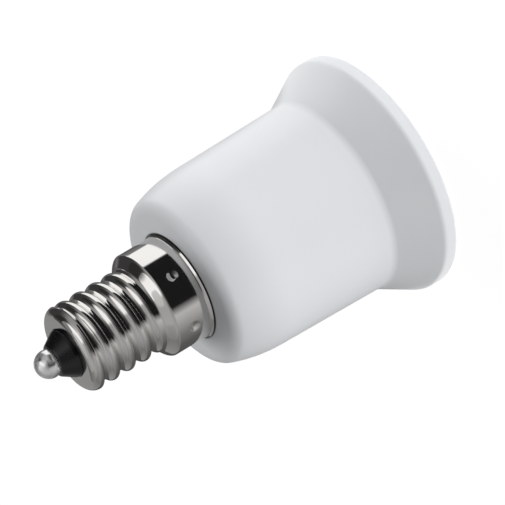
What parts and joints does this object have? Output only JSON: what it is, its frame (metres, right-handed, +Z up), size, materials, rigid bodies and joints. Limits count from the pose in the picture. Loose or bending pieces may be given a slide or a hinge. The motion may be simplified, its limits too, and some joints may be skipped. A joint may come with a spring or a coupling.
{
  "type": "lamp socket adapter",
  "caption": "White moulded adapter with a small screw cap at one end and a larger lamp socket in its flared mouth, joined by wires inside.",
  "frame": {"origin": "centre of the mouth's rim, in the plane of the rim", "axes": "+Z up the common axis from the mouth to the tip of the cap, +X and +Y across it, with the centre contact's bend towards +X"},
  "size_m": [0.0394, 0.0394, 0.0632],
  "materials": {
    "white_moulding": "satin cool-white moulded plastic",
    "socket_metal": "nickel-plated drawn sheet",
    "spring_brass": "bare rolled brass spring leaf",
    "rivet_brass": "upset brass",
    "cap_nickel": "bright nickel plate on rolled sheet",
    "black_insulator": "glossy black moulded insulator",
    "eyelet_brass": "drawn brass eyelet",
    "tip_solder": "bright set solder",
    "wire_metal": "solid copper wire, entered as brass because the list has no copper",
    "sleeve": "red insulating sleeve",
    "wire_solder": "set solder"
  },
  "bodies": {
    "adapter": {"housing": "white_moulding", "socket_shell": "socket_metal", "contact_rivet": "rivet_brass", "cap_shell": "cap_nickel", "cap_insulator": "black_insulator", "cap_eyelet": "eyelet_brass", "cap_tip": "tip_solder", "live_wire": "wire_metal", "live_sleeve": "sleeve", "neutral_wire": "wire_metal", "wire_solder": "wire_solder"},
    "contact": {"contact_spring": "spring_brass"}
  },
  "joints": [
    {"name": "contact_flex", "type": "hinge", "parent": "adapter", "child": "contact", "pos_m": [0.0032, 0, 0.0285], "axis": [0, 1, 0], "range_deg": [0, 13], "stiffness_Nm_per_rad": 0.12, "deforming": ["contact_spring"]}
  ]
}
